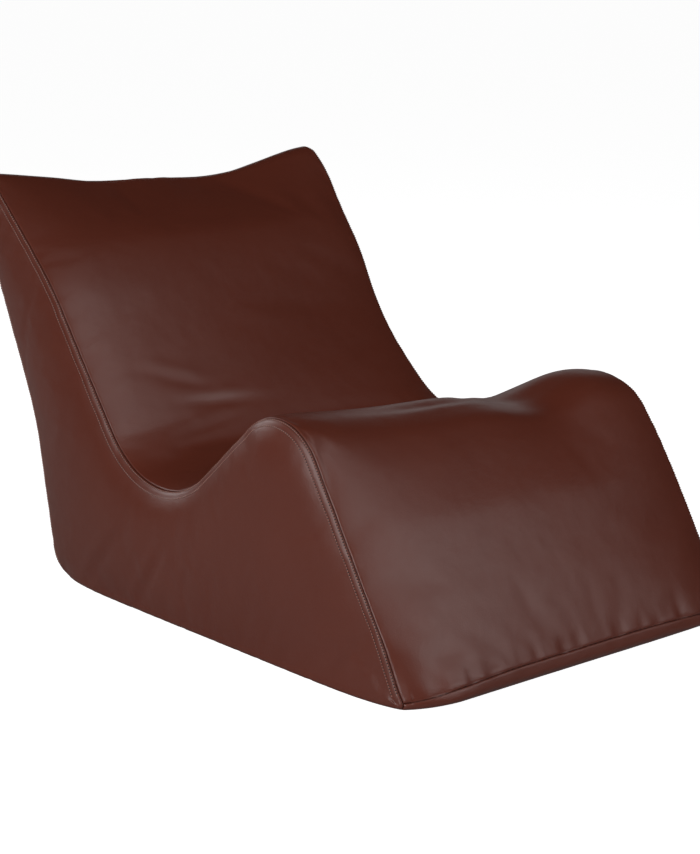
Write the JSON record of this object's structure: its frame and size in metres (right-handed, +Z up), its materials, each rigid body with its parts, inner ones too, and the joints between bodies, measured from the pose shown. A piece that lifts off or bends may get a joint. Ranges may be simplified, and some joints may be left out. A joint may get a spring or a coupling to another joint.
{
  "type": "bean bag lounger chair",
  "caption": "Low lounger bean bag with a reclined backrest, a seat dip and a knee rise, sewn in brown leatherette over a zipped liner full of beads.",
  "frame": {"origin": "on the floor, under the middle of the overall box", "axes": "+Z up; the sitter faces -Y, so the knee rise is towards -Y and the backrest towards +Y; +X is the sitter's left"},
  "size_m": [0.7506, 1.1235, 0.685],
  "materials": {
    "leatherette": "satin",
    "thread": "satin",
    "zip_tape": "matte",
    "zip_chain": "satin",
    "zip_metal": "satin",
    "puller": "matte",
    "liner_cloth": "matte",
    "liner_zip_tape": "matte",
    "liner_zip_chain": "satin",
    "beads": "matte"
  },
  "bodies": {
    "bag": {"back_panel_lower": "leatherette", "back_panel_upper": "leatherette", "base_panel": "leatherette", "bead_fill": "beads", "liner_side_left": "liner_cloth", "liner_side_right": "liner_cloth", "liner_wrap": "liner_cloth", "liner_zip_end_stops": "liner_zip_chain", "liner_zip_tape_lower": "liner_zip_tape", "liner_zip_tape_upper": "liner_zip_tape", "liner_zip_teeth_lower": "liner_zip_chain", "liner_zip_teeth_upper": "liner_zip_chain", "seat_panel": "leatherette", "side_panel_left": "leatherette", "side_panel_right": "leatherette", "topstitching_left": "thread", "topstitching_right": "thread", "zip_end_stops": "zip_chain", "zip_tape_lower": "zip_tape", "zip_tape_upper": "zip_tape", "zip_teeth_lower": "zip_chain", "zip_teeth_upper": "zip_chain"},
    "zip_slider": {"zip_slider": "zip_metal"},
    "zip_puller": {"zip_puller": "puller"},
    "liner_zip_slider": {"liner_zip_slider": "zip_metal"}
  },
  "joints": [
    {"name": "zip_travel", "type": "slide", "parent": "bag", "child": "zip_slider", "axis": [1, 0, 0], "range_m": [0, 0.544]},
    {"name": "puller_swing", "type": "hinge", "parent": "zip_slider", "child": "zip_puller", "pos_m": [-0.272, 0.3662, 0.13672], "axis": [1, 0, 0], "range_deg": [-10, 150]},
    {"name": "liner_zip_travel", "type": "slide", "parent": "bag", "child": "liner_zip_slider", "axis": [1, 0, 0], "range_m": [0, 0.544]}
  ]
}
